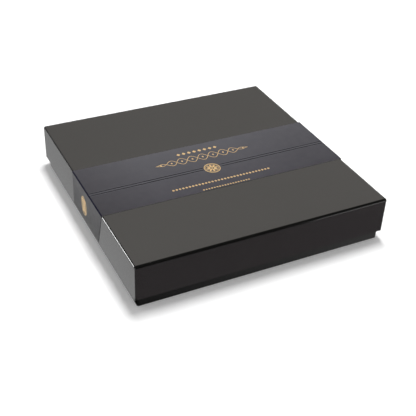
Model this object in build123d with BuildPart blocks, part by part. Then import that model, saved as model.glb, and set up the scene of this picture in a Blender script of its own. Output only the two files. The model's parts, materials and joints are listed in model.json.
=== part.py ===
"""Square set-up chocolate box: lift-off lid with a card band, deep tray, dividers, cups, chocolates and pad.

Frame: +X to the right along the front edge, +Y to the back, +Z up.
The origin is the centre of the underside, at the surface that the box stands on.
All sizes are millimetres.
"""

import math
import os

from build123d import *

os.makedirs("parts", exist_ok=True)

# Lid, measured over its paper covering
lid_side = 180.0
lid_skirt = 25.4
lid_edge_radius = 1.5

# Board and papers
board_thickness = 1.3
wrap_thickness = 0.15
liner_thickness = 0.12
stay_thickness = 0.1
lid_turn_in = 16.0
base_turn_in = 12.0
stay_width = 20.0
liner_inset = 0.5

# Fit of the lid on the base
slide_gap = 0.5
seat_gap = 0.2

# Base
base_edge_radius = 1.2
underside_turn = 15.0
bottom_sheet_inset = 2.0

# Band glued round the lid
band_width = 57.0
band_centre_y = -6.0
band_card = 0.18
band_side_gap = 0.05
band_rim_gap = 0.15
band_fold_radius = 0.35
band_side_slant = 8.0
band_flap = 12.0
band_flap_gap = 0.05
line_spacing = 2.4
line_width = 0.6
line_depth = 0.08
line_offset = -3.5
line_break = 14.0

# Dividers
cells_per_side = 4
divider_height = 25.5
divider_card = 0.6
divider_play = 0.3
divider_corner = 3.0
slot_play = 0.2

# Pleated cups
cup_play = 0.675
cup_flare = 5.4
cup_rim_drop = 8.5
cup_paper = 0.15
cup_pleats = 20
cup_pleat_depth = 1.2

# Dipped chocolates: height and radius of each ring as shares of the ball's own sizes
ball_play = 0.7
ball_headroom = 2.15
ball_sides = 16
ball_ring_shares = [
    (0.00, 0.74),
    (0.12, 0.92),
    (0.34, 1.00),
    (0.58, 0.95),
    (0.80, 0.75),
    (0.94, 0.42),
    (1.00, 0.15),
]

# Cushion pad on top of the dividers
pad_play = 0.5
pad_thickness = 2.6
pad_gap = 0.3
pad_headroom = 0.61
pad_corner = 5.0
quilt_pitch = 30.0
quilt_width = 2.4
quilt_depth = 0.9

# One overrun for every cut that has to break through
overrun = 1.0

# Levels, from the surface that the box stands on up over the dividers and the pad to the lid's top
base_wrap_z = wrap_thickness
base_board_z = base_wrap_z + wrap_thickness
base_floor_z = base_board_z + board_thickness
cell_floor_z = base_floor_z + liner_thickness
pad_z = cell_floor_z + divider_height + pad_gap
base_top_z = pad_z + pad_thickness + pad_headroom
base_board_top_z = base_top_z - wrap_thickness
lid_liner_z = base_top_z + seat_gap
lid_ceiling_z = lid_liner_z + liner_thickness
lid_board_top_z = lid_ceiling_z + board_thickness
lid_top_z = lid_board_top_z + wrap_thickness

# The skirt hangs from the lid's top and leaves the reveal, the part of the base that shows below it
reveal = lid_top_z - lid_skirt
lid_rim_z = reveal
lid_board_rim_z = lid_rim_z + wrap_thickness

# Sides, from the outside of the lid inwards
lid_board_side = lid_side - 2 * wrap_thickness
lid_board_inside = lid_board_side - 2 * board_thickness
lid_inside = lid_board_inside - 2 * wrap_thickness
base_side = lid_inside - 2 * slide_gap
base_board_side = base_side - 2 * wrap_thickness
base_board_inside = base_board_side - 2 * board_thickness
base_inside = base_board_inside - 2 * wrap_thickness
divider_length = base_inside - 2 * divider_play
pad_side = base_inside - 2 * pad_play

# Cells, cups and chocolates
cell_pitch = base_inside / cells_per_side
cup_rim_radius = (cell_pitch - divider_card) / 2 - cup_play
cup_floor_radius = cup_rim_radius - cup_flare
cup_height = divider_height - cup_rim_drop
ball_radius = cup_floor_radius - ball_play
ball_height = divider_height - cup_paper - ball_headroom


def tray_block(side, rim_z, far_z, radius):
    """Solid square block whose upright corners and far edges are rounded; the rim stays sharp."""
    with BuildPart() as block:
        with BuildSketch(Plane.XY.offset(rim_z)):
            Rectangle(side, side)
        extrude(amount=far_z - rim_z)
        far_face = block.faces().filter_by(Axis.Z).sort_by(lambda face: abs(face.center().Z - far_z))[0]
        fillet(block.edges().filter_by(Axis.Z) + far_face.edges(), radius)
    return block.part


def upright_block(side, low_z, high_z, radius):
    """Solid square block with rounded upright corners and plain edges."""
    with BuildPart() as block:
        with BuildSketch(Plane.XY.offset(low_z)):
            RectangleRounded(side, side, radius)
        extrude(amount=high_z - low_z)
    return block.part


def square_prism(side, low_z, high_z):
    """Plain square prism between two levels, for cavities and windows."""
    with BuildPart() as prism:
        with BuildSketch(Plane.XY.offset(low_z)):
            Rectangle(side, side)
        extrude(amount=high_z - low_z)
    return prism.part


def corner_stays(side, low_z, high_z, radius):
    """Four paper angles that hold the corners of a board tray, let into its outer face."""
    with BuildPart() as stays:
        with BuildSketch(Plane.XY.offset(low_z)):
            RectangleRounded(side, side, radius)
            RectangleRounded(side - 2 * stay_thickness, side - 2 * stay_thickness,
                             radius - stay_thickness, mode=Mode.SUBTRACT)
            Rectangle(side, side - 2 * stay_width, mode=Mode.SUBTRACT)
            Rectangle(side - 2 * stay_width, side, mode=Mode.SUBTRACT)
        extrude(amount=high_z - low_z)
    return stays.part


def lining(outer_side, inner_side, low_z, high_z):
    """Paper turned in round the inside of the walls."""
    with BuildPart() as ring:
        with BuildSketch(Plane.XY.offset(low_z)):
            Rectangle(outer_side, outer_side)
            Rectangle(inner_side, inner_side, mode=Mode.SUBTRACT)
        extrude(amount=high_z - low_z)
    return ring.part


def drafted_prism(plane, points, height, lean):
    """Prism on an outline, its flat sides leaning in towards the far end by an angle in degrees."""
    with BuildPart() as prism:
        with BuildSketch(plane):
            Polygon(*points, align=None)
        extrude(amount=height)
        sides = prism.faces().filter_by(plane, reverse=True)
        draft(sides, plane, lean)
    return prism.part


def keep(part, name):
    """Labels a finished piece and writes it to its own file."""
    part.label = name
    export_step(part, f"parts/{name}.step")


# Base: board tray, corner stays, covering strip, underside sheet and floor liner
base_board_radius = base_edge_radius - wrap_thickness
with BuildPart() as base_corner_stays:
    add(corner_stays(base_board_side, base_board_z, base_board_top_z, base_board_radius))
keep(base_corner_stays.part, "base_corner_stays")

with BuildPart() as base_board:
    add(upright_block(base_board_side, base_board_z, base_board_top_z, base_board_radius))
    add(square_prism(base_board_inside, base_floor_z, base_board_top_z), mode=Mode.SUBTRACT)
    add(base_corner_stays.part, mode=Mode.SUBTRACT)
keep(base_board.part, "base_board")

with BuildPart() as base_wrap:
    add(upright_block(base_side, base_wrap_z, base_top_z, base_edge_radius))
    add(upright_block(base_board_side, base_board_z, base_board_top_z, base_board_radius), mode=Mode.SUBTRACT)
    add(square_prism(base_board_inside, base_board_top_z - overrun, base_top_z), mode=Mode.SUBTRACT)
    add(square_prism(base_board_side - 2 * underside_turn, base_wrap_z, base_board_z), mode=Mode.SUBTRACT)
    add(lining(base_board_inside, base_inside, base_board_top_z - base_turn_in, base_top_z))
keep(base_wrap.part, "base_wrap")

with BuildPart() as base_bottom_sheet:
    with BuildSketch():
        sheet_side = base_side - 2 * bottom_sheet_inset
        RectangleRounded(sheet_side, sheet_side, base_edge_radius)
    extrude(amount=wrap_thickness)
keep(base_bottom_sheet.part, "base_bottom_sheet")

with BuildPart() as base_liner:
    with BuildSketch(Plane.XY.offset(base_floor_z)):
        Rectangle(base_board_inside - 2 * liner_inset, base_board_inside - 2 * liner_inset)
    extrude(amount=liner_thickness)
keep(base_liner.part, "base_liner")

# Lid: board tray, corner stays, covering paper, ceiling liner
lid_board_radius = lid_edge_radius - wrap_thickness
with BuildPart() as lid_corner_stays:
    add(corner_stays(lid_board_side, lid_board_rim_z, lid_board_top_z - lid_board_radius, lid_board_radius))
keep(lid_corner_stays.part, "lid_corner_stays")

with BuildPart() as lid_board:
    add(tray_block(lid_board_side, lid_board_rim_z, lid_board_top_z, lid_board_radius))
    add(square_prism(lid_board_inside, lid_board_rim_z, lid_ceiling_z), mode=Mode.SUBTRACT)
    add(lid_corner_stays.part, mode=Mode.SUBTRACT)
keep(lid_board.part, "lid_board")

with BuildPart() as lid_wrap:
    add(tray_block(lid_side, lid_rim_z, lid_top_z, lid_edge_radius))
    add(tray_block(lid_board_side, lid_board_rim_z, lid_board_top_z, lid_board_radius), mode=Mode.SUBTRACT)
    add(square_prism(lid_board_inside, lid_rim_z, lid_board_rim_z + overrun), mode=Mode.SUBTRACT)
    add(lining(lid_board_inside, lid_inside, lid_rim_z, lid_board_rim_z + lid_turn_in))
keep(lid_wrap.part, "lid_wrap")

with BuildPart() as lid_liner:
    with BuildSketch(Plane.XY.offset(lid_liner_z)):
        Rectangle(lid_board_inside - 2 * liner_inset, lid_board_inside - 2 * liner_inset)
    extrude(amount=liner_thickness)
keep(lid_liner.part, "lid_liner")

# Band: one card strip that lies on the top, goes down both sides, turns under the rim and is glued up inside
band_inner = lid_side + 2 * band_side_gap
band_outer = band_inner + 2 * band_card
band_front_y = band_centre_y - band_width / 2
band_under_z = lid_rim_z - band_rim_gap
band_low_z = band_under_z - band_card
band_top_z = lid_top_z + band_card
flap_outer_x = lid_inside / 2 - band_flap_gap
flap_inner_x = flap_outer_x - band_card
with BuildPart() as belly_band:
    with BuildSketch(Plane((0, band_centre_y, 0), x_dir=(1, 0, 0), z_dir=(0, -1, 0))) as band_profile:
        with Locations((0, band_low_z)):
            Rectangle(band_outer, band_top_z - band_low_z, align=(Align.CENTER, Align.MIN))
        fillet(band_profile.vertices(), band_fold_radius)
        with Locations((0, band_under_z)):
            Rectangle(band_inner, lid_top_z - band_under_z, align=(Align.CENTER, Align.MIN), mode=Mode.SUBTRACT)
        with Locations((0, band_low_z)):
            Rectangle(2 * flap_inner_x, band_card, align=(Align.CENTER, Align.MIN), mode=Mode.SUBTRACT)
        with Locations((flap_inner_x, band_low_z)):
            Rectangle(band_card, band_flap, align=(Align.MIN, Align.MIN))
        with Locations((-flap_inner_x, band_low_z)):
            Rectangle(band_card, band_flap, align=(Align.MAX, Align.MIN))
    extrude(amount=band_width / 2, both=True)
    # Below the top, the front edge slants back towards the rim
    with BuildSketch(Plane.YZ):
        Polygon((band_front_y, lid_top_z), (band_front_y, band_low_z), (band_front_y + band_side_slant, band_low_z),
                align=None)
    extrude(amount=band_outer, both=True, mode=Mode.SUBTRACT)
    # Two fine lines pressed into the top, broken at the middle for the printed ornament
    line_length = (band_inner - line_break) / 2
    with BuildSketch(Plane.XY.offset(band_top_z - line_depth)):
        with Locations((0, band_centre_y + line_offset)):
            with GridLocations(line_break + line_length, line_spacing, 2, 2):
                Rectangle(line_length, line_width)
    extrude(amount=line_depth, mode=Mode.SUBTRACT)
keep(belly_band.part, "belly_band")

# Dividers: three strips each way that halve into one another, standing on the floor liner
divider_places = [(index + 1 - cells_per_side / 2) * cell_pitch for index in range(cells_per_side - 1)]
slot_width = divider_card + slot_play
slot_depth = (divider_height + slot_play) / 2


def divider(plane, slot_z, slot_align):
    """Card strip with a half-depth slot at each crossing."""
    with BuildPart() as strip:
        with BuildSketch(plane) as outline:
            Rectangle(divider_length, divider_height, align=(Align.CENTER, Align.MIN))
            chamfer(outline.vertices().group_by(Axis.Z)[-1], divider_corner)
            with Locations(*[(place, slot_z) for place in divider_places]):
                Rectangle(slot_width, slot_depth, align=(Align.CENTER, slot_align), mode=Mode.SUBTRACT)
        extrude(amount=divider_card / 2, both=True)
    return strip.part


for number, place in enumerate(divider_places, start=1):
    long_plane = Plane((0, place, cell_floor_z), x_dir=(1, 0, 0), z_dir=(0, -1, 0))
    cross_plane = Plane((place, 0, cell_floor_z), x_dir=(0, 1, 0), z_dir=(1, 0, 0))
    keep(divider(long_plane, divider_height, Align.MAX), f"divider_long_{number}")
    keep(divider(cross_plane, 0, Align.MIN), f"divider_cross_{number}")


# Cups: the lean of the pleated wall follows from the floor, the rim and the tilt of a pleat's face
pleat_half_angle = math.pi / cup_pleats
pleat_valley_radius = cup_floor_radius - cup_pleat_depth
pleat_tilt = math.atan2(cup_floor_radius - pleat_valley_radius * math.cos(pleat_half_angle),
                        pleat_valley_radius * math.sin(pleat_half_angle))
cup_lean = math.degrees(math.atan2((cup_rim_radius - cup_floor_radius) * math.cos(pleat_tilt), cup_height))


def pleated_outline(inset):
    """Points of the cup's pleated outline at its floor, moved inwards by an inset."""
    points = []
    for corner in range(2 * cup_pleats):
        radius = cup_floor_radius - cup_pleat_depth * (corner % 2) - inset
        angle = pleat_half_angle * corner
        points.append((radius * math.cos(angle), radius * math.sin(angle)))
    return points


def candy_cup(centre):
    """Pleated paper cup that stands on the floor liner of its cell."""
    floor = Plane(centre)
    inner_floor = floor.offset(cup_paper)
    with BuildPart() as cup:
        add(drafted_prism(floor, pleated_outline(0), cup_height, -cup_lean))
        add(drafted_prism(inner_floor, pleated_outline(cup_paper), cup_height - cup_paper, -cup_lean),
            mode=Mode.SUBTRACT)
    return cup.part


def ball_outline(radius):
    """Points of one ring of the ball."""
    turns = [2 * math.pi * side / ball_sides for side in range(ball_sides)]
    return [(radius * math.cos(turn), radius * math.sin(turn)) for turn in turns]


def dipped_ball(centre):
    """Chocolate-dipped ball with a flat foot: bands of flat faces from ring to ring."""
    foot = Plane(centre)
    rings = [(height * ball_height, radius * ball_radius) for height, radius in ball_ring_shares]
    with BuildPart() as ball:
        for (low_z, low_radius), (high_z, high_radius) in zip(rings, rings[1:]):
            draw_in = (low_radius - high_radius) * math.cos(math.pi / ball_sides)
            lean = math.degrees(math.atan2(draw_in, high_z - low_z))
            add(drafted_prism(foot.offset(low_z), ball_outline(low_radius), high_z - low_z, lean))
    return ball.part


cell_places = [(index + 0.5 - cells_per_side / 2) * cell_pitch for index in range(cells_per_side)]
for row, place_y in enumerate(cell_places):
    for column, place_x in enumerate(cell_places):
        number = row * cells_per_side + column + 1
        keep(candy_cup((place_x, place_y, cell_floor_z)), f"candy_cup_{number:02d}")
        keep(dipped_ball((place_x, place_y, cell_floor_z + cup_paper)), f"chocolate_{number:02d}")

# Cushion pad: soft sheet with quilting pressed in along both diagonals
with BuildPart() as cushion_pad:
    with BuildSketch(Plane.XY.offset(pad_z)):
        RectangleRounded(pad_side, pad_side, pad_corner)
    extrude(amount=pad_thickness)
    quilt_count = 2 * int(pad_side / math.sqrt(2) / quilt_pitch) + 1
    for turn in (math.radians(45), math.radians(135)):
        across = (math.cos(turn), math.sin(turn), 0)
        along = (math.sin(turn), -math.cos(turn), 0)
        with BuildSketch(Plane((0, 0, pad_z + pad_thickness), x_dir=across, z_dir=along)):
            with GridLocations(quilt_pitch, 0, quilt_count, 1):
                Polygon((-quilt_width / 2, 0), (0, -quilt_depth), (quilt_width / 2, 0), align=None)
        extrude(amount=pad_side, both=True, mode=Mode.SUBTRACT)
keep(cushion_pad.part, "cushion_pad")
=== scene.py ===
"""Looks of a square set-up chocolate box: black laminated lid and base, card band, pad, cups and chocolates.

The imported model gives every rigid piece. This script finishes them, and models the soft and fine pieces.
Sizes are millimetres unless a name says otherwise. The frame's own unit is the metre.
"""

import json
import math
import random

import bpy
from mathutils import Matrix, Quaternion, Vector


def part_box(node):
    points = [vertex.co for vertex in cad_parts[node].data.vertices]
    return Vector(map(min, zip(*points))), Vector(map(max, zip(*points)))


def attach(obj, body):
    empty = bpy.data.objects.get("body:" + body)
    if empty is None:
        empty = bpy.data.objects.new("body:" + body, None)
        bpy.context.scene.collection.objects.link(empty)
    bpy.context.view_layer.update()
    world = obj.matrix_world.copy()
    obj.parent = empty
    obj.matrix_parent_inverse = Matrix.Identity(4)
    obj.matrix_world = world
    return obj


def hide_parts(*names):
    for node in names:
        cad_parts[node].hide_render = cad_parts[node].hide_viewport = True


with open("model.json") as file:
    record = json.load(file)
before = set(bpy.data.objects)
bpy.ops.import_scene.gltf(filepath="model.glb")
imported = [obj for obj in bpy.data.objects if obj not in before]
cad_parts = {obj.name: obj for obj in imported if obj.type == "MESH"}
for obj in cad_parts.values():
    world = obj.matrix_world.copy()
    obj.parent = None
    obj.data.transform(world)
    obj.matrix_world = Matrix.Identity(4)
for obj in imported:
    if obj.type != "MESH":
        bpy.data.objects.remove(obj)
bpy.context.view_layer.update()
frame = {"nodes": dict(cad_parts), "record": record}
nodes = frame["nodes"]

MM = 0.001

# Colour inputs of a Mix node by number, since its sockets share their names
LOW, HIGH = 6, 7

# Camera fitted to the corners of the lid and the base
camera_place = (-223.70, -432.53, 332.78)
camera_back = (-0.3807, -0.7256, 0.5733)
camera_roll_degrees = 2.678
camera_lens = 70.60
camera_sensor = 36.0
camera_clip = 10.0

# Studio: a white floor and surroundings, and one soft lamp high at the back right
floor_size = 6000.0
floor_glow = 0.15
ambient_level = 0.45
key_place = (158.0, 222.0, 1280.0)
key_size = (284.0, 446.0)
key_watts = 14.6

# Cards that only reflections see, each where one face of the box looks, with its brightness. The wide ones
# run out of sight, and the level ones lie just over the floor, one above another where they cross
wide = 3000.0
card_lifts = (0.05, 0.1, 0.25, 0.5, 0.75, 0.85)
card_foot = 1.0
side_card_reach = (-122.0, -87.0)
side_card_ends = (-93.0, 175.0)
side_card_levels = (0.79, 0.57)
foot_card_reach = (-130.0, 130.0)
foot_card_ends = (-95.5, -88.0)
foot_card_levels = (0.02, 0.5)
front_card_ends = (-139.5, -95.5)
front_card_level = 0.33
far_card_corner = (61.0, -141.0)
far_card_start = (-150.0, -139.5)
far_card_turn_degrees = 33.0
corner_card_ways_degrees = (125.0, 167.0)
corner_card_reach = (0.5, 40.0)
corner_card_level = 1.9
base_corner_reach = (-97.0, -87.0)
base_corner_ends = (-97.0, -83.0)
overhead_card_z = 600.0
overhead_card_ends = (-2650.0, 450.0)
horizon_card_reach = (-3000.0, 1500.0)
back_card_y = 1500.0
back_card_heights = (300.0, 2400.0)
back_card_levels = (0.28, 1.93)
back_card_fade = (560.0, 1560.0, 1.0, 0.81)
left_card_x = -600.0
left_card_turn_y = 700.0
left_card_top = 1200.0
left_card_levels = (0.1, 0.5)
edge_card_place = (-394.0, 300.0)
edge_card_reach = (-80.0, 30.0)
edge_card_heights = (15.0, 95.0)
edge_card_level = 26.0

# Pressed lines, painted sheen, shade and highlights, folds and cut edges of the band, in step with its solid
band_lines_y = -9.5
band_line_spacing = 2.4
band_line_width = 0.6
band_line_shade = 0.17
band_ridge_highlight = 0.3
band_fold_shade = 0.8
band_sheen_left = 46.0
band_sheen_right = (64.4, 23.0)
band_right_share = 0.6
band_shade_start = 3.0
band_side_slant = 8.0
band_face_reach = 0.01
band_pressed_depth = 0.06
band_pressed_reach = 0.05
band_cut_reach = 0.04

# Foil ornament on the band: round seal, interlaced border, rows of beads, and oval seal on the left side
foil_thickness = 0.03
ring_corners = 64
boss_corners = 20
petal_corners = 16
leaf_corners = 12
bead_corners = 4
seal_place = (-0.5, -10.6)
seal_radius = 5.85
seal_rim_share = 0.9
seal_line_shares = (0.82, 0.77)
seal_boss_share = 0.13
petal_count = 8
petal_share = 0.26
petal_narrow = 0.52
petal_place_share = 0.46
wave_length = 16.0
wave_count = 4.5
wave_height = 3.8
wave_place_y = 5.4
wave_line = 0.42
wave_points = 120
wave_swell = 5.0
border_bead = (0.9, (0.8, 1.2))
bead_rows_x = -0.7
# Count, pitch, place along Y, size, and stretch along X and Y
bead_rows = (
    (8, 4.1, 14.0, 1.5, (1.0, 1.0)),
    (31, 2.4, -26.0, 1.05, (0.95, 1.0)),
    (18, 2.0, -33.0, 0.8, (1.0, 1.0)),
)
side_seal_y = 0.0
side_seal_drop = 14.0
side_seal_reach = (5.4, 7.2)
side_stem = (0.75, (0.5, 10.44))
side_leaf = (0.5, (3.564, 1.674))
side_leaf_rows = 6
side_leaf_pitch = 1.8
side_leaf_x = 1.944
side_leaf_lean_degrees = 62.0

# Pleated cups
cup_pleats = 36
cup_flare = 5.4
cup_pleat_depth = 0.9
cup_paper = 0.12
cup_rings = 6
cup_curve = 0.85
cup_smooth_degrees = 28.0

# Dipped chocolates
ball_segments = 40
ball_rings = 28
ball_smooth_degrees = 50.0
foot_level = 0.01
foot_spread = 0.6
foot_round = 0.35
swirl_turns = 2.4
swirl_width = 0.95
swirl_proud_share = 0.45
swirl_depth_share = 0.004
swirl_tilts_degrees = (4.0, 48.0)
swirl_start = (0.25, 6.0)
swirl_end = (0.2, 7.0)
swirl_points = 46

# Quilted pad
quilt_pitch = 30.0
pad_cells_across = 80
pad_edge_draw = 0.4
pad_edge_held = 0.6
pad_ply_gap = 0.5
pad_seam = 1.1
pad_seam_core = 0.2
pad_seam_share = 0.75
pad_pressure = 500.0
pad_quality = 4
pad_frames = 12
pad_smooth_degrees = 60.0

random.seed(16)


def linear(code):
    """Linear colour of an sRGB hex code."""
    shares = [int(code[place:place + 2], 16) / 255 for place in (0, 2, 4)]
    return [s / 12.92 if s <= 0.04045 else ((s + 0.055) / 1.055) ** 2.4 for s in shares] + [1.0]


def scale_of(size):
    """Scale of a pattern on Object coordinates whose grain is that many millimetres."""
    return 1 / (size * MM)


def feed(tree, node, inputs):
    """Sets a node's inputs, each to a value, or to an output or the first live output of a node."""
    for socket, value in inputs.items():
        if isinstance(value, bpy.types.Node):
            value = next(output for output in value.outputs if output.enabled)
        if isinstance(value, bpy.types.NodeSocket):
            tree.links.new(value, node.inputs[socket])
        else:
            node.inputs[socket].default_value = value


def add_node(tree, kind, inputs=None, **settings):
    """Adds a node with its settings and feeds its inputs."""
    node = tree.nodes.new(kind)
    for name, value in settings.items():
        setattr(node, name, value)
    feed(tree, node, inputs or {})
    return node


def new_material(name, **values):
    """A material of that name with one Principled shader: itself, its tree, shader and Object coordinates."""
    material = bpy.data.materials.new(name)
    material.use_nodes = True
    tree = material.node_tree
    tree.nodes.clear()
    inputs = {key.replace("_", " "): value for key, value in values.items()}
    shader = add_node(tree, "ShaderNodeBsdfPrincipled", inputs)
    add_node(tree, "ShaderNodeOutputMaterial", {"Surface": shader})
    place = add_node(tree, "ShaderNodeTexCoord").outputs["Object"]
    return material, tree, shader, place


def black_laminate():
    """Art paper printed black under satin polyester film: deep and even, softly glossy, faintly rippled."""
    material, tree, shader, place = new_material("black_satin_laminated_paper", IOR=1.57)
    cloud = add_node(tree, "ShaderNodeTexNoise", {"Vector": place, "Scale": scale_of(22.0), "Detail": 3.0})
    haze = add_node(tree, "ShaderNodeTexNoise", {"Vector": place, "Scale": scale_of(40.0), "Detail": 3.0})
    peel = add_node(tree, "ShaderNodeTexNoise", {"Vector": place, "Scale": scale_of(1.2), "Detail": 1.0})
    colours = {"Factor": cloud, LOW: linear("131312"), HIGH: linear("161615")}
    gloss = {"Value": haze, "From Min": 0.3, "From Max": 0.7, "To Min": 0.14, "To Max": 0.16}
    relief = {"Height": peel, "Distance": 0.0015 * MM, "Strength": 0.3}
    feed(tree, shader, {
        "Base Color": add_node(tree, "ShaderNodeMix", colours, data_type="RGBA"),
        "Roughness": add_node(tree, "ShaderNodeMapRange", gloss),
        "Normal": add_node(tree, "ShaderNodeBump", relief),
    })
    return material


def slate_card():
    """Slate-blue printed card with a dull varnish. Painted sheen makes it lighter to the back and middle.
    Painted shade darkens its sides downwards, the pressed lines and the folds. It is grey where its core
    shows at the cut edges, painted light enough that no shade shows there."""
    material, tree, shader, place = new_material("slate_printed_band_card", IOR=1.45)
    low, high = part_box("belly_band")
    lid_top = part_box("lid_wrap")[1].z
    axes = add_node(tree, "ShaderNodeSeparateXYZ", {"Vector": place}).outputs

    # Painted sheen and shade: the ends are darker than the middle, the front than the back, and the sides
    # darken downwards
    across = add_node(tree, "ShaderNodeMapRange", {"Value": axes["Y"], "From Min": low.y, "From Max": high.y})
    left = add_node(tree, "ShaderNodeMapRange", {
        "Value": axes["X"], "From Min": low.x, "From Max": low.x + band_sheen_left * MM})
    right = add_node(tree, "ShaderNodeMapRange", {
        "Value": axes["X"], "To Min": 1.0, "To Max": band_right_share,
        "From Min": high.x - band_sheen_right[0] * MM, "From Max": high.x - band_sheen_right[1] * MM})
    glow = add_node(tree, "ShaderNodeMath", {0: left, 1: right}, operation="MULTIPLY")
    below = add_node(tree, "ShaderNodeMapRange", {
        "Value": axes["Z"], "From Min": lid_top - band_shade_start * MM, "From Max": low.z})
    ends_tones = {"Factor": across, LOW: linear("2a2930"), HIGH: linear("36353c")}
    middle_tones = {"Factor": across, LOW: linear("37363e"), HIGH: linear("47474d")}
    ends = add_node(tree, "ShaderNodeMix", ends_tones, data_type="RGBA")
    middle = add_node(tree, "ShaderNodeMix", middle_tones, data_type="RGBA")
    ground = add_node(tree, "ShaderNodeMix", {"Factor": glow, LOW: ends, HIGH: middle}, data_type="RGBA")
    shaded = {"Factor": below, LOW: ground, HIGH: linear("0a0a12")}
    ground = add_node(tree, "ShaderNodeMix", shaded, data_type="RGBA")

    # Each pressed line is darkened with painted shade, between two faint strips of painted highlight
    on_top = add_node(tree, "ShaderNodeMath", {0: axes["Z"], 1: high.z, 2: band_face_reach * MM},
                      operation="COMPARE")
    line_reach = band_line_width / 2 + band_line_shade
    stripes = []
    for line_y in (band_lines_y + band_line_spacing / 2, band_lines_y - band_line_spacing / 2):
        for way in (-1, 1):
            stripes.append((line_y + way * (line_reach + band_ridge_highlight / 2), band_ridge_highlight / 2, "55555d"))
        stripes.append((line_y, line_reach, "08080b"))
    for stripe_y, reach, code in stripes:
        stripe = add_node(tree, "ShaderNodeMath", {0: axes["Y"], 1: stripe_y * MM, 2: reach * MM},
                          operation="COMPARE")
        share = add_node(tree, "ShaderNodeMath", {0: on_top, 1: stripe}, operation="MULTIPLY")
        ground = add_node(tree, "ShaderNodeMix", {"Factor": share, LOW: ground, HIGH: linear(code)},
                          data_type="RGBA")

    # Painted shade on the floors of the pressed lines and along the folds over the lid's edges, and the
    # card's grey core at the slanted front cut, painted light enough to hide the shade there
    pressed = add_node(tree, "ShaderNodeMath", {
        0: axes["Z"], 1: high.z - band_pressed_depth * MM, 2: band_pressed_reach * MM}, operation="COMPARE")
    lines = add_node(tree, "ShaderNodeMath", {
        0: axes["Y"], 1: band_lines_y * MM, 2: band_line_spacing * MM}, operation="COMPARE")
    floors = add_node(tree, "ShaderNodeMath", {0: pressed, 1: lines}, operation="MULTIPLY")
    side = add_node(tree, "ShaderNodeMath", {0: axes["X"]}, operation="ABSOLUTE")
    near_side = add_node(tree, "ShaderNodeMath", {0: side, 1: high.x, 2: band_fold_shade * MM},
                         operation="COMPARE")
    near_top = add_node(tree, "ShaderNodeMath", {0: axes["Z"], 1: high.z, 2: band_fold_shade * MM},
                        operation="COMPARE")
    fold = add_node(tree, "ShaderNodeMath", {0: near_side, 1: near_top}, operation="MULTIPLY")
    slant = add_node(tree, "ShaderNodeMapRange", {
        "Value": axes["Z"], "From Min": low.z, "From Max": lid_top,
        "To Min": low.y + band_side_slant * MM, "To Max": low.y})
    past_cut = add_node(tree, "ShaderNodeMath", {0: axes["Y"], 1: slant}, operation="SUBTRACT")
    cut = add_node(tree, "ShaderNodeMath", {0: past_cut, 1: 0.0, 2: band_cut_reach * MM}, operation="COMPARE")
    for share, code in ((floors, "030305"), (fold, "0a0b24"), (cut, "6c6c70")):
        ground = add_node(tree, "ShaderNodeMix", {"Factor": share, LOW: ground, HIGH: linear(code)},
                          data_type="RGBA")

    # The varnish is rubbed off the folds and doesn't reach into the lines. The tooth of real card is finer,
    # and is drawn as coarse as it needs to show
    cloud = add_node(tree, "ShaderNodeTexNoise", {"Vector": place, "Scale": scale_of(5.0), "Detail": 3.0})
    tooth = add_node(tree, "ShaderNodeTexNoise", {"Vector": place, "Scale": scale_of(0.7), "Detail": 3.0})
    varnish = add_node(tree, "ShaderNodeMapRange", {
        "Value": cloud, "From Min": 0.3, "From Max": 0.7, "To Min": 0.4, "To Max": 0.48})
    dull = add_node(tree, "ShaderNodeMath", {0: fold, 1: pressed}, operation="MAXIMUM")
    relief = {"Height": tooth, "Distance": 0.006 * MM, "Strength": 0.5}
    feed(tree, shader, {
        "Base Color": ground,
        "Roughness": add_node(tree, "ShaderNodeMath", {0: varnish, 1: dull}, operation="MAXIMUM"),
        "Normal": add_node(tree, "ShaderNodeBump", relief),
    })
    return material


def gold_foil():
    """Pale gold hot-stamping foil: bright metal pressed into card, slightly uneven."""
    material, tree, shader, place = new_material("pale_gold_stamping_foil", Metallic=0.65)
    # The card's grain under real foil is finer, and is drawn as coarse as it needs to show
    patch = add_node(tree, "ShaderNodeTexNoise", {"Vector": place, "Scale": scale_of(2.5), "Detail": 3.0})
    grain = add_node(tree, "ShaderNodeTexNoise", {"Vector": place, "Scale": scale_of(0.5), "Detail": 2.0})
    colours = {"Factor": patch, LOW: linear("e2bb80"), HIGH: linear("f6d8a4")}
    gloss = {"Value": patch, "From Min": 0.3, "From Max": 0.7, "To Min": 0.34, "To Max": 0.46}
    feed(tree, shader, {
        "Base Color": add_node(tree, "ShaderNodeMix", colours, data_type="RGBA"),
        "Roughness": add_node(tree, "ShaderNodeMapRange", gloss),
        "Normal": add_node(tree, "ShaderNodeBump", {"Height": grain, "Distance": 0.01 * MM, "Strength": 0.4}),
    })
    return material


def greyboard():
    """Recycled grey chipboard: matt, with fibres and flecks in it."""
    material, tree, shader, place = new_material("recycled_greyboard", Roughness=0.9)
    # Flecks are as large as real ones, and fibres are drawn as coarse as they need to show
    specks = add_node(tree, "ShaderNodeTexNoise", {"Vector": place, "Scale": scale_of(0.8), "Detail": 4.0})
    cloud = add_node(tree, "ShaderNodeTexNoise", {"Vector": place, "Scale": scale_of(6.0), "Detail": 3.0})
    fibre = add_node(tree, "ShaderNodeTexNoise", {"Vector": place, "Scale": scale_of(0.5), "Detail": 4.0})
    fleck = add_node(tree, "ShaderNodeMapRange", {"Value": specks, "From Min": 0.55, "From Max": 0.75})
    colours = {"Factor": cloud, LOW: linear("8d877c"), HIGH: linear("a09a8f")}
    ground = add_node(tree, "ShaderNodeMix", colours, data_type="RGBA")
    flecked = {"Factor": fleck, LOW: ground, HIGH: linear("5f5a51")}
    feed(tree, shader, {
        "Base Color": add_node(tree, "ShaderNodeMix", flecked, data_type="RGBA"),
        "Normal": add_node(tree, "ShaderNodeBump", {"Height": fibre, "Distance": 0.03 * MM}),
    })
    return material


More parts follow.
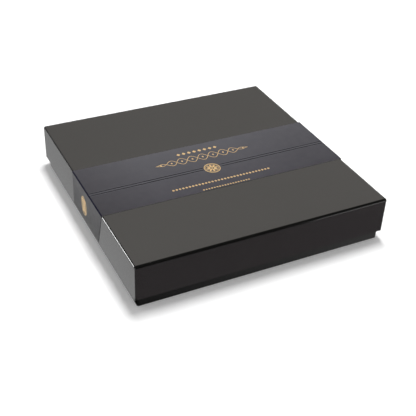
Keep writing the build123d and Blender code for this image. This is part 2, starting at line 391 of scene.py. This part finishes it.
def kraft_stay():
    """Gummed kraft paper: brown and matt, with long fibres."""
    material, tree, shader, place = new_material("gummed_kraft_paper", Roughness=0.8)
    # Fibres are as long as real ones, and are drawn as wide as they need to show
    stretched = add_node(tree, "ShaderNodeMapping", {"Vector": place, "Scale": (1.0, 1.0, 0.2)})
    fibre = add_node(tree, "ShaderNodeTexNoise", {"Vector": stretched, "Scale": scale_of(0.6), "Detail": 4.0})
    colours = {"Factor": fibre, LOW: linear("93703f"), HIGH: linear("b8925c")}
    feed(tree, shader, {
        "Base Color": add_node(tree, "ShaderNodeMix", colours, data_type="RGBA"),
        "Normal": add_node(tree, "ShaderNodeBump", {"Height": fibre, "Distance": 0.015 * MM}),
    })
    return material


def lining_paper():
    """Uncoated ivory lining paper: matt, with a fine tooth and a cloudy formation."""
    material, tree, shader, place = new_material("uncoated_ivory_paper", Roughness=0.85)
    # The tooth of real paper is finer, and is drawn as coarse as it needs to show
    cloud = add_node(tree, "ShaderNodeTexNoise", {"Vector": place, "Scale": scale_of(4.0), "Detail": 4.0})
    tooth = add_node(tree, "ShaderNodeTexNoise", {"Vector": place, "Scale": scale_of(0.35), "Detail": 3.0})
    colours = {"Factor": cloud, LOW: linear("e4dccb"), HIGH: linear("f0eadb")}
    feed(tree, shader, {
        "Base Color": add_node(tree, "ShaderNodeMix", colours, data_type="RGBA"),
        "Normal": add_node(tree, "ShaderNodeBump", {"Height": tooth, "Distance": 0.01 * MM}),
    })
    return material


def divider_card():
    """Clay-coated folding card: nearly white, smooth, with a hint of sheen."""
    material, tree, shader, place = new_material("coated_divider_card", IOR=1.45)
    # The tooth of real coated card is finer, and is drawn as coarse as it needs to show
    cloud = add_node(tree, "ShaderNodeTexNoise", {"Vector": place, "Scale": scale_of(5.0), "Detail": 3.0})
    tooth = add_node(tree, "ShaderNodeTexNoise", {"Vector": place, "Scale": scale_of(0.5), "Detail": 3.0})
    colours = {"Factor": cloud, LOW: linear("ddd3bf"), HIGH: linear("ebe3d2")}
    gloss = {"Value": cloud, "From Min": 0.3, "From Max": 0.7, "To Min": 0.5, "To Max": 0.6}
    feed(tree, shader, {
        "Base Color": add_node(tree, "ShaderNodeMix", colours, data_type="RGBA"),
        "Roughness": add_node(tree, "ShaderNodeMapRange", gloss),
        "Normal": add_node(tree, "ShaderNodeBump", {"Height": tooth, "Distance": 0.008 * MM}),
    })
    return material


def glassine():
    """Brown glassine: calendered paper, dark and semi-gloss, faintly cloudy."""
    material, tree, shader, place = new_material("brown_glassine_paper", IOR=1.5)
    # The tooth of real glassine is finer, and is drawn as coarse as it needs to show
    cloud = add_node(tree, "ShaderNodeTexNoise", {"Vector": place, "Scale": scale_of(3.0), "Detail": 3.0})
    tooth = add_node(tree, "ShaderNodeTexNoise", {"Vector": place, "Scale": scale_of(0.6), "Detail": 3.0})
    colours = {"Factor": cloud, LOW: linear("3a2016"), HIGH: linear("54321f")}
    gloss = {"Value": cloud, "From Min": 0.3, "From Max": 0.7, "To Min": 0.35, "To Max": 0.5}
    feed(tree, shader, {
        "Base Color": add_node(tree, "ShaderNodeMix", colours, data_type="RGBA"),
        "Roughness": add_node(tree, "ShaderNodeMapRange", gloss),
        "Normal": add_node(tree, "ShaderNodeBump", {"Height": tooth, "Distance": 0.02 * MM}),
    })
    return material


def chocolate():
    """Tempered dark chocolate, hand dipped: satin, with slow ripples where it set."""
    material, tree, shader, place = new_material("tempered_dark_chocolate", IOR=1.46)
    cloud = add_node(tree, "ShaderNodeTexNoise", {"Vector": place, "Scale": scale_of(7.0), "Detail": 3.0})
    bloom = add_node(tree, "ShaderNodeTexNoise", {"Vector": place, "Scale": scale_of(2.5), "Detail": 3.0})
    ripple = add_node(tree, "ShaderNodeTexNoise", {"Vector": place, "Scale": scale_of(5.0), "Detail": 2.0})
    colours = {"Factor": cloud, LOW: linear("2c150c"), HIGH: linear("452416")}
    gloss = {"Value": bloom, "From Min": 0.3, "From Max": 0.7, "To Min": 0.28, "To Max": 0.42}
    relief = {"Height": ripple, "Distance": 0.25 * MM, "Strength": 0.6}
    feed(tree, shader, {
        "Base Color": add_node(tree, "ShaderNodeMix", colours, data_type="RGBA"),
        "Roughness": add_node(tree, "ShaderNodeMapRange", gloss),
        "Normal": add_node(tree, "ShaderNodeBump", relief),
    })
    return material


def pad_paper():
    """Embossed padding paper: brown and crimped over soft wadding, with painted shade along its quilting
    lines.
    """
    material, tree, shader, place = new_material("embossed_padding_paper", Roughness=0.7)
    cloud = add_node(tree, "ShaderNodeTexNoise", {"Vector": place, "Scale": scale_of(6.0), "Detail": 3.0})
    colours = {"Factor": cloud, LOW: linear("513523"), HIGH: linear("664631")}
    colour = add_node(tree, "ShaderNodeMix", colours, data_type="RGBA")
    axes = add_node(tree, "ShaderNodeSeparateXYZ", {"Vector": place}).outputs
    # Painted shade along the quilting seams, darkest in their middle
    for operation in ("ADD", "SUBTRACT"):
        way = add_node(tree, "ShaderNodeMath", {0: axes["X"], 1: axes["Y"]}, operation=operation)
        across = add_node(tree, "ShaderNodeMath", {0: way, 1: math.sqrt(0.5)}, operation="MULTIPLY")
        away = add_node(tree, "ShaderNodeMath", {0: across, 1: quilt_pitch * MM / 2}, operation="PINGPONG")
        pressed = add_node(tree, "ShaderNodeMapRange", {
            "Value": away, "From Min": pad_seam_core * MM, "From Max": pad_seam * MM,
            "To Min": pad_seam_share, "To Max": 0.0})
        seams = {"Factor": pressed, LOW: colour, HIGH: linear("24150c")}
        colour = add_node(tree, "ShaderNodeMix", seams, data_type="RGBA")
    crimp = add_node(tree, "ShaderNodeTexVoronoi", {"Vector": place, "Scale": scale_of(1.4)})
    feed(tree, shader, {
        "Base Color": colour,
        "Normal": add_node(tree, "ShaderNodeBump", {"Height": crimp, "Distance": 0.12 * MM, "Strength": 0.7}),
    })
    return material


def dress(obj, material):
    """Gives a piece one material."""
    obj.data.materials.clear()
    obj.data.materials.append(material)


def deselect():
    """Leaves object mode ready for the next piece, with nothing selected."""
    bpy.ops.object.select_all(action="DESELECT")


def take(obj):
    """Selects a piece alone and makes it the active one."""
    deselect()
    obj.select_set(True)
    bpy.context.view_layer.objects.active = obj


def active(name):
    """Names the object just added."""
    obj = bpy.context.object
    obj.name = name
    obj.data.name = name
    return obj


def settle(obj):
    """Puts a piece's place into its mesh."""
    take(obj)
    bpy.ops.object.transform_apply(location=True, rotation=True, scale=True)


def join(pieces, name):
    """Joins pieces into the first."""
    deselect()
    for piece in pieces:
        piece.select_set(True)
    bpy.context.view_layer.objects.active = pieces[0]
    bpy.ops.object.join()
    return active(name)


def finish_piece(obj, material, body, slot, *replaced):
    """Dresses a finished piece and hangs it on its body."""
    dress(obj, material)
    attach(obj, body)
    if replaced:
        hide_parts(*replaced)


def select_points(obj, wanted):
    """Selects the mesh's points by number and place, in edit mode."""
    bpy.ops.mesh.select_all(action="DESELECT")
    bpy.ops.object.mode_set(mode="OBJECT")
    for point in obj.data.vertices:
        point.select = wanted(point.index, point.co)
    bpy.ops.object.mode_set(mode="EDIT")


def copy_piece(obj, name, move, turn):
    """A copy with its own mesh, turned about Z and moved."""
    made = bpy.data.objects.new(name, obj.data.copy())
    made.data.name = name
    made.data.transform(Matrix.Translation(move) @ Matrix.Rotation(turn, 4, "Z"))
    bpy.context.scene.collection.objects.link(made)
    return made


def drop(obj):
    """Removes a pattern piece that only its copies stand for."""
    bpy.data.objects.remove(obj, do_unlink=True)


foil = gold_foil()
cup_finish = glassine()
coating = chocolate()
padding = pad_paper()
finish_of_slot = {
    "black_paper": black_laminate(),
    "greyboard": greyboard(),
    "kraft_tape": kraft_stay(),
    "ivory_paper": lining_paper(),
    "band_card": slate_card(),
    "divider_card": divider_card(),
    "cup_paper": cup_finish,
    "chocolate": coating,
    "pad_paper": padding,
}
for subpart in frame["record"]["subparts"]:
    dress(nodes[subpart["node"]], finish_of_slot[subpart["material_slot"]])


def pleated_cup():
    """One cup at the origin: pleated wall flaring from a flat floor, of thin paper."""
    low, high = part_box("candy_cup_01")
    rim_radius = (high.x - low.x) / 2
    height = high.z - low.z
    floor_radius = rim_radius - cup_flare * MM
    deselect()
    bpy.ops.mesh.primitive_circle_add(vertices=2 * cup_pleats, radius=floor_radius, fill_type="NGON")
    cup = active("cup_pattern")
    bpy.ops.object.mode_set(mode="EDIT")
    valley_share = 1 - cup_pleat_depth * MM / floor_radius
    select_points(cup, lambda index, place: index % 2 == 1)
    bpy.ops.transform.resize(value=(valley_share, valley_share, 1), center_override=(0, 0, 0))
    bpy.ops.mesh.select_all(action="SELECT")
    bpy.ops.mesh.select_mode(type="EDGE")
    bpy.ops.mesh.region_to_loop()
    radii = [floor_radius + cup_flare * MM * (ring / cup_rings) ** cup_curve for ring in range(cup_rings + 1)]
    for start, end in zip(radii, radii[1:]):
        bpy.ops.mesh.extrude_edges_move(TRANSFORM_OT_translate={"value": (0, 0, height / cup_rings)})
        bpy.ops.transform.resize(value=(end / start, end / start, 1), center_override=(0, 0, 0))
    bpy.ops.mesh.select_mode(type="VERT")
    bpy.ops.mesh.select_all(action="SELECT")
    bpy.ops.mesh.normals_make_consistent(inside=True)
    bpy.ops.object.mode_set(mode="OBJECT")
    wall = cup.modifiers.new("paper", "SOLIDIFY")
    wall.thickness = cup_paper * MM
    wall.offset = 1.0
    bpy.ops.object.modifier_apply(modifier="paper")
    bpy.ops.object.shade_smooth_by_angle(angle=math.radians(cup_smooth_degrees))
    return cup


def dipped_ball():
    """One chocolate at the origin: a ball with a flat foot, a small skirt of coating and a piped swirl."""
    low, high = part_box("chocolate_01")
    radius = (high.x - low.x) / 2
    height = high.z - low.z
    deselect()
    bpy.ops.mesh.primitive_uv_sphere_add(segments=ball_segments, ring_count=ball_rings, radius=radius)
    ball = active("ball_pattern")
    ball.location.z = height - radius - swirl_width * MM * swirl_proud_share
    settle(ball)
    bpy.ops.object.mode_set(mode="EDIT")
    bpy.ops.mesh.select_all(action="SELECT")
    bpy.ops.mesh.bisect(plane_co=(0, 0, 0), plane_no=(0, 0, 1), use_fill=True, clear_inner=True)
    bpy.ops.object.mode_set(mode="OBJECT")
    foot_radius = max(point.co.xy.length for point in ball.data.vertices if point.co.z < foot_level * MM)
    bpy.ops.object.mode_set(mode="EDIT")
    select_points(ball, lambda index, place: place.z < foot_level * MM)
    skirt = 1 + foot_spread * MM / foot_radius
    bpy.ops.transform.resize(value=(skirt, skirt, 1), center_override=(0, 0, 0))
    bpy.ops.mesh.bevel(offset=foot_round * MM, segments=3)
    bpy.ops.object.mode_set(mode="OBJECT")
    dipped = join([ball, piped_swirl(ball.data)], "ball_pattern")
    take(dipped)
    bpy.ops.object.shade_smooth_by_angle(angle=math.radians(ball_smooth_degrees))
    return dipped


def piped_swirl(ball_mesh):
    """A thread of coating that winds out from the top of the ball and sinks into it at both ends."""
    top = max(point.co.z for point in ball_mesh.vertices)
    radius = max(point.co.x for point in ball_mesh.vertices)
    out = radius * (1 - swirl_depth_share)
    tilt_start, tilt_end = swirl_tilts_degrees
    deselect()
    bpy.ops.curve.primitive_nurbs_path_add()
    thread = active("swirl_pattern")
    line = thread.data.splines[0]
    line.points.add(swirl_points - len(line.points))
    line.use_endpoint_u = True
    for index, point in enumerate(line.points):
        share = index / (swirl_points - 1)
        turn = 2 * math.pi * swirl_turns * share
        tilt = math.radians(tilt_start + (tilt_end - tilt_start) * share)
        point.co = (out * math.sin(tilt) * math.cos(turn), out * math.sin(tilt) * math.sin(turn),
                    top - radius + out * math.cos(tilt), 1)
        thin_start = swirl_start[0] + swirl_start[1] * share
        thin_end = swirl_end[0] + swirl_end[1] * (1 - share)
        point.radius = min(1.0, thin_start, thin_end)
    thread.data.bevel_depth = swirl_width * MM / 2
    thread.data.bevel_resolution = 2
    thread.data.resolution_u = 3
    thread.data.use_fill_caps = True
    take(thread)
    bpy.ops.object.convert(target="MESH")
    return bpy.context.object


def fill_cells():
    """A cup and a chocolate in each cell, each turned its own way."""
    cup = pleated_cup()
    ball = dipped_ball()
    for name in sorted(name for name in nodes if name.startswith("candy_cup_")):
        number = name[-2:]
        low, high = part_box(name)
        middle = (low + high) / 2
        placed_cup = copy_piece(cup, f"pleated_cup_{number}", (middle.x, middle.y, low.z),
                                random.uniform(0, 2 * math.pi))
        finish_piece(placed_cup, cup_finish, "base", "cup_paper", name)
        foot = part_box(f"chocolate_{number}")[0].z
        placed_ball = copy_piece(ball, f"dipped_ball_{number}", (middle.x, middle.y, foot),
                                 random.uniform(0, 2 * math.pi))
        finish_piece(placed_ball, coating, "base", "chocolate", f"chocolate_{number}")
    drop(cup)
    drop(ball)


def quilt_seam(x, y):
    """Distance in metres from a point of the pad to the nearest quilting line."""
    pitch = quilt_pitch * MM
    ways = ((x + y) / math.sqrt(2), (x - y) / math.sqrt(2))
    return min(abs((way + pitch / 2) % pitch - pitch / 2) for way in ways)


def quilted_pad():
    """Soft pad: two plies closed at the edge and held together along diamonds, puffed up between them."""
    low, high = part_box("cushion_pad")
    side = high.x - low.x - 2 * pad_edge_draw * MM
    deselect()
    bpy.ops.mesh.primitive_grid_add(size=side, x_subdivisions=pad_cells_across,
                                    y_subdivisions=pad_cells_across)
    pad = active("quilted_pad")
    wall = pad.modifiers.new("plies", "SOLIDIFY")
    wall.thickness = pad_ply_gap * MM
    wall.offset = 0.0
    bpy.ops.object.modifier_apply(modifier="plies")
    held = pad.vertex_groups.new(name="seams")
    edge = side / 2 - pad_edge_held * MM
    sewn = [point.index for point in pad.data.vertices
            if quilt_seam(point.co.x, point.co.y) < pad_seam * MM
            or max(abs(point.co.x), abs(point.co.y)) > edge]
    held.add(sewn, 1.0, "REPLACE")
    puff(pad)
    tallest = max(abs(point.co.z) for point in pad.data.vertices)
    for point in pad.data.vertices:
        point.co.z *= (high.z - low.z) / 2 / tallest
    finish = pad.modifiers.new("smooth", "SUBSURF")
    finish.levels = finish.render_levels = 1
    bpy.ops.object.modifier_apply(modifier="smooth")
    pad.location = (low + high) / 2
    settle(pad)
    bpy.ops.object.shade_smooth_by_angle(angle=math.radians(pad_smooth_degrees))
    finish_piece(pad, padding, "pad", "pad_paper", "cushion_pad")


def puff(pad):
    """Blows the pad up a little with Cloth, held along its seams, and keeps the shape."""
    scene = bpy.context.scene
    cloth = pad.modifiers.new("puff", "CLOTH")
    settings = cloth.settings
    settings.vertex_group_mass = "seams"
    settings.use_pressure = True
    settings.uniform_pressure_force = pad_pressure
    settings.quality = pad_quality
    settings.effector_weights.gravity = 0.0
    cloth.collision_settings.use_collision = False
    cloth.point_cache.frame_start = 1
    cloth.point_cache.frame_end = pad_frames
    for moment in range(1, pad_frames + 1):
        scene.frame_set(moment)
    take(pad)
    bpy.ops.object.modifier_apply(modifier="puff")
    scene.frame_set(1)


def raise_foil():
    """Gives the flat shape in edit mode the foil's thickness, with its faces outwards."""
    bpy.ops.mesh.select_all(action="SELECT")
    bpy.ops.mesh.extrude_region_move(TRANSFORM_OT_translate={"value": (0, 0, foil_thickness * MM)})
    bpy.ops.mesh.select_all(action="SELECT")
    bpy.ops.mesh.normals_make_consistent(inside=False)
    bpy.ops.object.mode_set(mode="OBJECT")


def flat_shape(name, corners, radius, place, stretch, turn=0.0):
    """A solid foil shape of that many corners, lying in the XY plane."""
    deselect()
    bpy.ops.mesh.primitive_circle_add(vertices=corners, radius=radius * MM, fill_type="NGON",
                                      rotation=(0, 0, turn))
    shape = active(name)
    settle(shape)
    shape.scale = (*stretch, 1)
    shape.location = (place[0] * MM, place[1] * MM, 0)
    settle(shape)
    bpy.ops.object.mode_set(mode="EDIT")
    raise_foil()
    return shape


def flat_ring(name, outer, inner, place):
    """A foil ring lying in the XY plane."""
    middle = (place[0] * MM, place[1] * MM, 0)
    deselect()
    bpy.ops.mesh.primitive_circle_add(vertices=ring_corners, radius=outer * MM, fill_type="NOTHING",
                                      location=middle)
    ring = active(name)
    settle(ring)
    bpy.ops.object.mode_set(mode="EDIT")
    bpy.ops.mesh.select_all(action="SELECT")
    bpy.ops.mesh.extrude_edges_move()
    bpy.ops.transform.resize(value=(inner / outer, inner / outer, 1), center_override=middle)
    raise_foil()
    return ring


def rosette():
    """A round seal: two rings and a ring of solid petals about a small boss."""
    shapes = [
        flat_ring("seal_rim", seal_radius, seal_radius * seal_rim_share, seal_place),
        flat_ring("seal_line", *[seal_radius * share for share in seal_line_shares], seal_place),
        flat_shape("seal_boss", boss_corners, seal_radius * seal_boss_share, seal_place, (1.0, 1.0)),
    ]
    for petal in range(petal_count):
        leaf = flat_shape("seal_petal", petal_corners, seal_radius * petal_share, (0, 0), (1.0, petal_narrow))
        leaf.data.transform(Matrix.Translation((seal_place[0] * MM, seal_place[1] * MM, 0))
                            @ Matrix.Rotation(2 * math.pi * petal / petal_count, 4, "Z")
                            @ Matrix.Translation((seal_radius * petal_place_share * MM, 0, 0)))
        shapes.append(leaf)
    return shapes


def leaf_seal():
    """An upright oval seal: a broad rim about a stem with pairs of solid leaves."""
    rim = flat_ring("leaf_seal_rim", 1.0, seal_rim_share, (0, 0))
    rim.data.transform(Matrix.Diagonal((*side_seal_reach, 1, 1)))
    stem_size, stem_stretch = side_stem
    leaf_size, leaf_stretch = side_leaf
    stem = flat_shape("leaf_seal_stem", bead_corners, stem_size, (0, 0), stem_stretch, math.pi / 4)
    shapes = [rim, stem]
    for row in range(side_leaf_rows):
        y = (row - (side_leaf_rows - 1) / 2) * side_leaf_pitch
        for way in (-1, 1):
            leaf = flat_shape("leaf_seal_leaf", leaf_corners, leaf_size, (0, 0), leaf_stretch)
            lean = Matrix.Rotation(math.radians(90 - way * side_leaf_lean_degrees), 4, "Z")
            leaf.data.transform(Matrix.Translation((way * side_leaf_x * MM, y * MM, 0)) @ lean)
            shapes.append(leaf)
    return shapes


def wave_line_piece(name, flip):
    """One line of the interlaced border, as a flat ribbon that follows a swelling wave."""
    deselect()
    bpy.ops.curve.primitive_nurbs_path_add()
    ribbon = active(name)
    line = ribbon.data.splines[0]
    line.points.add(wave_points - len(line.points))
    line.use_endpoint_u = True
    for index, point in enumerate(line.points):
        share = index / (wave_points - 1)
        x = (share - 0.5) * wave_length * wave_count
        swell = min(1.0, wave_swell * share, wave_swell * (1 - share))
        y = wave_place_y + flip * wave_height * swell * math.cos(2 * math.pi * x / wave_length)
        point.co = (x * MM, y * MM, 0, 1)
    ribbon.data.resolution_u = 2
    take(ribbon)
    bpy.ops.object.convert(target="MESH")
    ribbon = bpy.context.object
    bpy.ops.object.mode_set(mode="EDIT")
    bpy.ops.mesh.select_all(action="SELECT")
    bpy.ops.mesh.extrude_edges_move(TRANSFORM_OT_translate={"value": (0, 0, foil_thickness * MM / 2)})
    bpy.ops.object.mode_set(mode="OBJECT")
    wall = ribbon.modifiers.new("line", "SOLIDIFY")
    wall.thickness = wave_line * MM
    wall.offset = 0.0
    wall.use_even_offset = True
    bpy.ops.object.modifier_apply(modifier="line")
    return ribbon


def band_ornament():
    """Gold ornament on the band: round seal, interlaced border and beads, and one seal on the left side."""
    low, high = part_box("belly_band")
    shapes = rosette()
    shapes += [wave_line_piece("border_line_a", 1), wave_line_piece("border_line_b", -1)]
    bead_size, bead_stretch = border_bead
    for index in range(int(2 * wave_count)):
        x = (index + 0.5 - wave_count) * wave_length / 2
        shapes.append(flat_shape("border_bead", bead_corners, bead_size, (x, wave_place_y), bead_stretch))
    for count, pitch, y, size, stretch in bead_rows:
        for index in range(count):
            x = (index - (count - 1) / 2) * pitch + bead_rows_x
            shapes.append(flat_shape("bead", bead_corners, size, (x, y), stretch))
    ornament = join(shapes, "band_foil_ornament")
    ornament.data.transform(Matrix.Translation((0, 0, high.z)))
    finish_piece(ornament, foil, "lid", "band_card")

    side_seal = join(leaf_seal(), "side_foil_seal")
    stand = Matrix.Rotation(math.radians(-90), 4, "Y") @ Matrix.Rotation(math.radians(90), 4, "Z")
    place = (low.x, side_seal_y * MM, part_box("lid_wrap")[1].z - side_seal_drop * MM)
    side_seal.data.transform(Matrix.Translation(place) @ stand)
    finish_piece(side_seal, foil, "lid", "band_card")


def set_camera():
    """Camera at the photograph's place and angle."""
    data = bpy.data.cameras.new("camera")
    data.sensor_width = camera_sensor
    data.lens = camera_lens
    data.clip_start = camera_clip * MM
    camera = bpy.data.objects.new("camera", data)
    bpy.context.scene.collection.objects.link(camera)
    camera.location = Vector(camera_place) * MM
    roll = Quaternion((0, 0, 1), math.radians(camera_roll_degrees))
    camera.rotation_mode = "QUATERNION"
    camera.rotation_quaternion = (-Vector(camera_back)).to_track_quat("-Z", "Y") @ roll
    bpy.context.scene.camera = camera


def set_key():
    """A soft rectangular lamp that shines straight down and that neither the camera nor the gloss sees."""
    data = bpy.data.lights.new("key", "AREA")
    data.shape = "RECTANGLE"
    data.size = key_size[0] * MM
    data.size_y = key_size[1] * MM
    data.energy = key_watts
    key = bpy.data.objects.new("key", data)
    bpy.context.scene.collection.objects.link(key)
    key.location = Vector(key_place) * MM
    key.rotation_mode = "QUATERNION"
    key.rotation_quaternion = Vector((0, 0, -1)).to_track_quat("-Z", "Y")
    key.visible_camera = False
    key.visible_glossy = False


def seen_ray(tree):
    """One for rays that show the surroundings: from the camera, off gloss and through glass."""
    path = add_node(tree, "ShaderNodeLightPath").outputs
    direct = add_node(tree, "ShaderNodeMath", {0: path["Is Camera Ray"], 1: path["Is Glossy Ray"]},
                      operation="MAXIMUM")
    return add_node(tree, "ShaderNodeMath", {0: direct, 1: path["Is Transmission Ray"]}, operation="MAXIMUM")


def set_surroundings():
    """White paper floor and white surroundings, dimmer as light than as background."""
    deselect()
    bpy.ops.mesh.primitive_plane_add(size=floor_size * MM)
    floor = active("studio_floor")
    white, tree, shader, place = new_material("matt_white_paper_sweep", Roughness=1.0)
    cloud = add_node(tree, "ShaderNodeTexNoise", {"Vector": place, "Scale": scale_of(400.0), "Detail": 3.0})
    colours = {"Factor": cloud, LOW: linear("f0f0f0"), HIGH: linear("f2f2f2")}
    glow = {"Value": seen_ray(tree), "To Max": floor_glow}
    feed(tree, shader, {
        "Base Color": add_node(tree, "ShaderNodeMix", colours, data_type="RGBA"),
        "Specular IOR Level": 0.0,
        "Emission Color": linear("ffffff"),
        "Emission Strength": add_node(tree, "ShaderNodeMapRange", glow),
    })
    dress(floor, white)

    world = bpy.data.worlds.new("studio")
    bpy.context.scene.world = world
    world.use_nodes = True
    tree = world.node_tree
    tree.nodes.clear()
    level = add_node(tree, "ShaderNodeMapRange", {"Value": seen_ray(tree), "To Min": ambient_level})
    background = add_node(tree, "ShaderNodeBackground", {"Color": linear("ffffff"), "Strength": level})
    add_node(tree, "ShaderNodeOutputWorld", {"Surface": background})


def reflected_card(name, corners, levels=(0.0, 0.0), axis="Y", tint="ffffff", fade=None):
    """A lit or black card that only reflections see, graded along an axis. A fade takes from it along X."""
    deselect()
    bpy.ops.mesh.primitive_plane_add(size=MM)
    sheet = active(name)
    for point, corner in zip(sheet.data.vertices, corners):
        point.co = Vector(corner) * MM
    material, tree, shader, place = new_material(f"{name}_light", Roughness=1.0)
    ends = [getattr(point.co, axis.lower()) for point in sheet.data.vertices]
    axes = add_node(tree, "ShaderNodeSeparateXYZ", {"Vector": place}).outputs
    level = add_node(tree, "ShaderNodeMapRange", {
        "Value": axes[axis], "From Min": min(ends), "From Max": max(ends),
        "To Min": levels[0], "To Max": levels[1]})
    if fade:
        start, end, near, far = fade
        share = add_node(tree, "ShaderNodeMapRange", {
            "Value": axes["X"], "From Min": start * MM, "From Max": end * MM, "To Min": near, "To Max": far})
        level = add_node(tree, "ShaderNodeMath", {0: level, 1: share}, operation="MULTIPLY")
    feed(tree, shader, {
        "Base Color": linear("000000"),
        "Specular IOR Level": 0.0,
        "Emission Color": linear(tint),
        "Emission Strength": level,
    })
    dress(sheet, material)
    sheet.visible_camera = False
    sheet.visible_diffuse = False
    sheet.visible_shadow = False
    sheet.visible_transmission = False


def level_card(name, reach, ends, lift, levels=(0.0, 0.0), axis="Y", tint="ffffff"):
    """A card that lies level between two places along X and two along Y."""
    reflected_card(name, [(x, y, lift) for y in ends for x in reach], levels, axis, tint)


def set_cards():
    """Cards for the gloss of the black faces: each face shows one, and black ones keep the edges dark."""
    far_lift, front_lift, foot_lift, side_lift, corner_lift, base_lift = card_lifts
    level_card("side_card", side_card_reach, side_card_ends, side_lift, side_card_levels)
    level_card("foot_card", foot_card_reach, foot_card_ends, foot_lift, foot_card_levels, "X")
    level_card("front_card", (-wide, wide), front_card_ends, front_lift, (front_card_level,) * 2,
               tint="fff1f6")
    level_card("overhead_card", (-wide, wide), overhead_card_ends, overhead_card_z)
    level_card("base_corner_card", base_corner_reach, base_corner_ends, base_lift)

    # The rounded near corner throws what lies in this wedge of the floor
    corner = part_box("lid_wrap")[0].xy / MM
    ways = [math.radians(way) for way in corner_card_ways_degrees]
    rays = [Vector((math.cos(way), math.sin(way))) for way in ways]
    tips = [corner + ray * length for length in corner_card_reach for ray in rays]
    reflected_card("corner_card", [(*tip, corner_lift) for tip in tips], (corner_card_level,) * 2)

    # Beyond a slanting line the floor in front shows no light in the front face
    turn = Matrix.Rotation(math.radians(far_card_turn_degrees), 2)
    right = turn.inverted() @ Vector(far_card_corner)
    front = turn.inverted() @ Vector(far_card_start)
    flat = [turn @ Vector((x, y)) for y in (front.y - wide, front.y) for x in (right.x - wide, right.x)]
    reflected_card("far_front_card", [(*corner, far_lift) for corner in flat])

    # The lid shows the wall of light at the back, and its rounded left edge the small bright card
    back = [(x, back_card_y, z) for z in back_card_heights for x in (-wide, wide)]
    reflected_card("back_card", back, back_card_levels, "Z", "fffaf4", back_card_fade)
    horizon = [(x, overhead_card_ends[0], z)
               for z in (card_foot, overhead_card_z) for x in horizon_card_reach]
    reflected_card("horizon_card", horizon)
    for name, ends, levels in (("left_card", (-wide, left_card_turn_y), (0, 0)),
                               ("left_far_card", (left_card_turn_y, back_card_y), left_card_levels)):
        reflected_card(name, [(left_card_x, y, z) for z in (card_foot, left_card_top) for y in ends], levels)
    edge = [(edge_card_place[0] + along, edge_card_place[1] + along, z)
            for z in edge_card_heights for along in edge_card_reach]
    reflected_card("edge_card", edge, (edge_card_level,) * 2)


set_camera()
set_surroundings()
set_key()
set_cards()
fill_cells()
quilted_pad()
band_ornament()

bpy.context.scene.view_settings.view_transform = "Standard"
